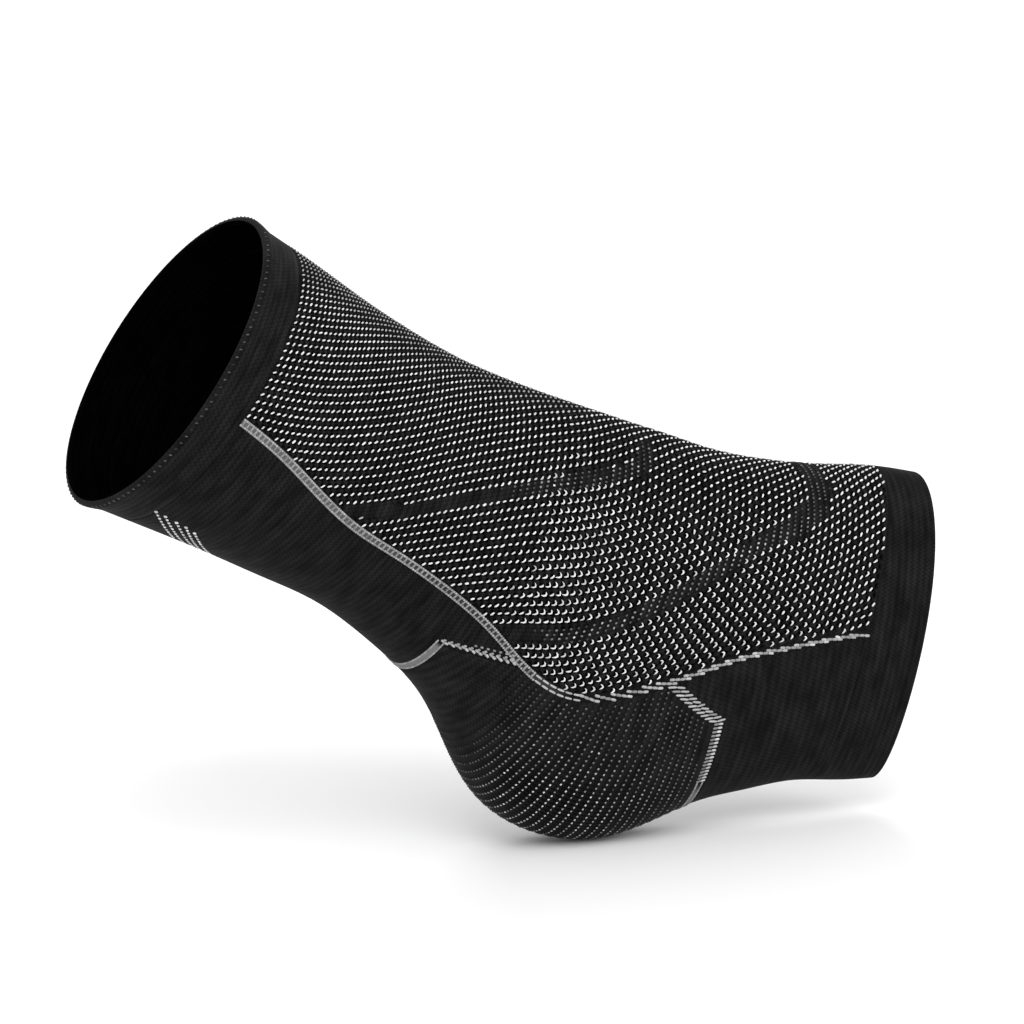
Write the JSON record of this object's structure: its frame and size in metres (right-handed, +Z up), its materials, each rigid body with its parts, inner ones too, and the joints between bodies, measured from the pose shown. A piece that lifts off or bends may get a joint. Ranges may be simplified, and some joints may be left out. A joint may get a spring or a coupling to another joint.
{
  "type": "knitted ankle sleeve",
  "caption": "Elastic knitted ankle support, a bent open tube from lower leg to midfoot with a closed heel pocket, dotted instep zone and grey outlines.",
  "frame": {"origin": "inside bottom of the heel pocket, where the wearer's heel sits", "axes": "+X towards the toes, +Y towards the wearer's left on a symmetric sleeve, +Z up the leg side"},
  "size_m": [0.2649, 0.0898, 0.193],
  "materials": {
    "black_knit": "matt black elastic knit with fine ribs",
    "dotted_knit": "black elastic knit with a brick lattice of white stitches",
    "grey_knit": "light grey stitches over black knit"
  },
  "bodies": {
    "root": {"leg_cuff": "black_knit", "foot_cuff": "black_knit", "instep_panel": "dotted_knit", "achilles_panel": "black_knit", "heel_pocket": "black_knit", "sole_panel": "black_knit", "side_outline_right": "grey_knit", "side_outline_left": "grey_knit", "heel_top_outline": "grey_knit", "heel_front_outline": "grey_knit"}
  },
  "joints": []
}
